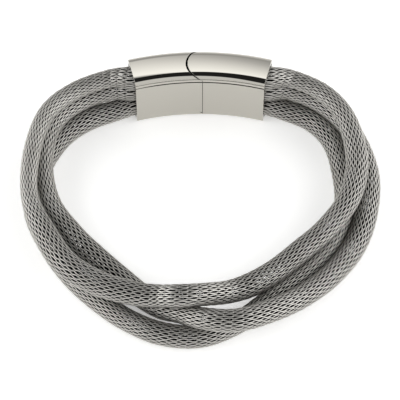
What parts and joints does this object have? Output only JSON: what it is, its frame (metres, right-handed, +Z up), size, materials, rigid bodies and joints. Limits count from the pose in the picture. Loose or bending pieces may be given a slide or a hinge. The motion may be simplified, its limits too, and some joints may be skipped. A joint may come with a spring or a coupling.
{
  "type": "mesh bracelet",
  "caption": "Bracelet of knitted steel mesh tubes that cross each other and meet in a curved polished steel clasp, lying on its side.",
  "frame": {"origin": "middle of the bracelet's footprint, on the surface that it lies on", "axes": "+X to the right along the loop's width, +Y from the front of the loop to the clasp, +Z up from the surface, along the height of the clasp"},
  "size_m": [0.0774, 0.0655, 0.0158],
  "materials": {
    "polished_steel": "mirror-polished stainless steel",
    "knitted_steel": "drawn stainless steel wire, knitted into a soft tube",
    "pin_steel": "turned stainless steel"
  },
  "bodies": {
    "root": {"clasp_left": "polished_steel", "clasp_right": "polished_steel", "catch_pin": "pin_steel", "strand_top": "knitted_steel", "strand_middle": "knitted_steel", "strand_bottom": "knitted_steel"}
  },
  "joints": []
}
